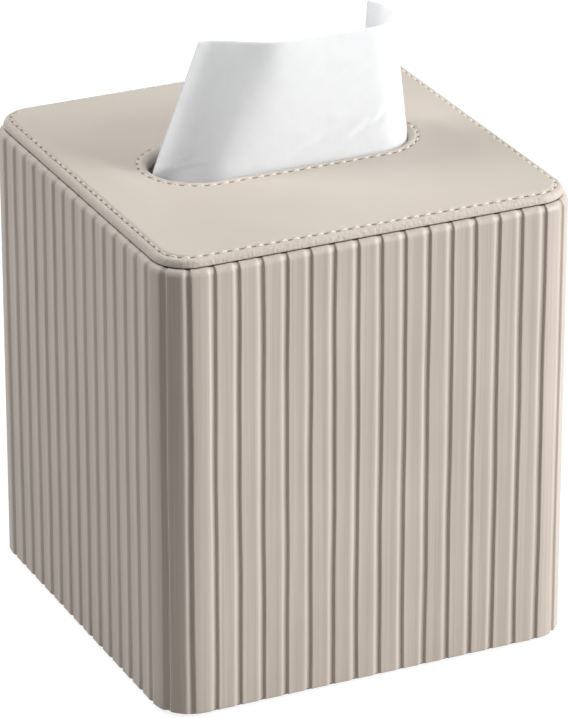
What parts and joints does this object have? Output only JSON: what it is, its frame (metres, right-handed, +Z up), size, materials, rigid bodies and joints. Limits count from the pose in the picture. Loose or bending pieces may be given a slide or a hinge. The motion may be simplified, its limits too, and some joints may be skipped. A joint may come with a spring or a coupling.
{
  "type": "tissue box cover",
  "caption": "Square tissue box cover with ribbed leather-look walls and a stitched, slotted top; it lifts off its base and carton, and a tissue stands in the slot.",
  "frame": {"origin": "middle of the footprint, on the surface that the cover stands on", "axes": "+Z up, -Y towards the front, the slot runs along X"},
  "size_m": [0.13, 0.13, 0.1785],
  "materials": {
    "leather": "satin leather-look sheet, fine grain, greige",
    "thread": "twisted polyester thread, ecru",
    "fibreboard": "bare medium-density fibreboard",
    "lining": "suede-like non-woven lining, warm grey",
    "foam": "thin closed-cell foam",
    "felt": "pressed felt, charcoal",
    "magnet": "nickel-plated magnet",
    "carton": "plain coated carton board, off-white",
    "tissue": "soft white tissue paper"
  },
  "bodies": {
    "base": {"base_board": "fibreboard", "base_felt": "felt", "base_lining": "lining", "base_magnets": "magnet", "tissue_carton": "carton", "tissue_stack": "tissue"},
    "cover": {"ribbed_leather_wrap": "leather", "top_leather": "leather", "edge_stitching": "thread", "slot_stitching": "thread", "front_board": "fibreboard", "right_board": "fibreboard", "back_board": "fibreboard", "left_board": "fibreboard", "top_board": "fibreboard", "top_foam": "foam", "front_lining": "lining", "right_lining": "lining", "back_lining": "lining", "left_lining": "lining", "top_lining": "lining", "rim_felt": "felt", "wall_magnets": "magnet"},
    "tissue": {"pulled_tissue": "tissue"}
  },
  "joints": [
    {"name": "cover_lift", "type": "slide", "parent": "base", "child": "cover", "axis": [0, 0, 1], "range_m": [0, 0.185]},
    {"name": "tissue_pull", "type": "slide", "parent": "base", "child": "tissue", "axis": [0, 0, 1], "range_m": [0, 0.095]}
  ]
}
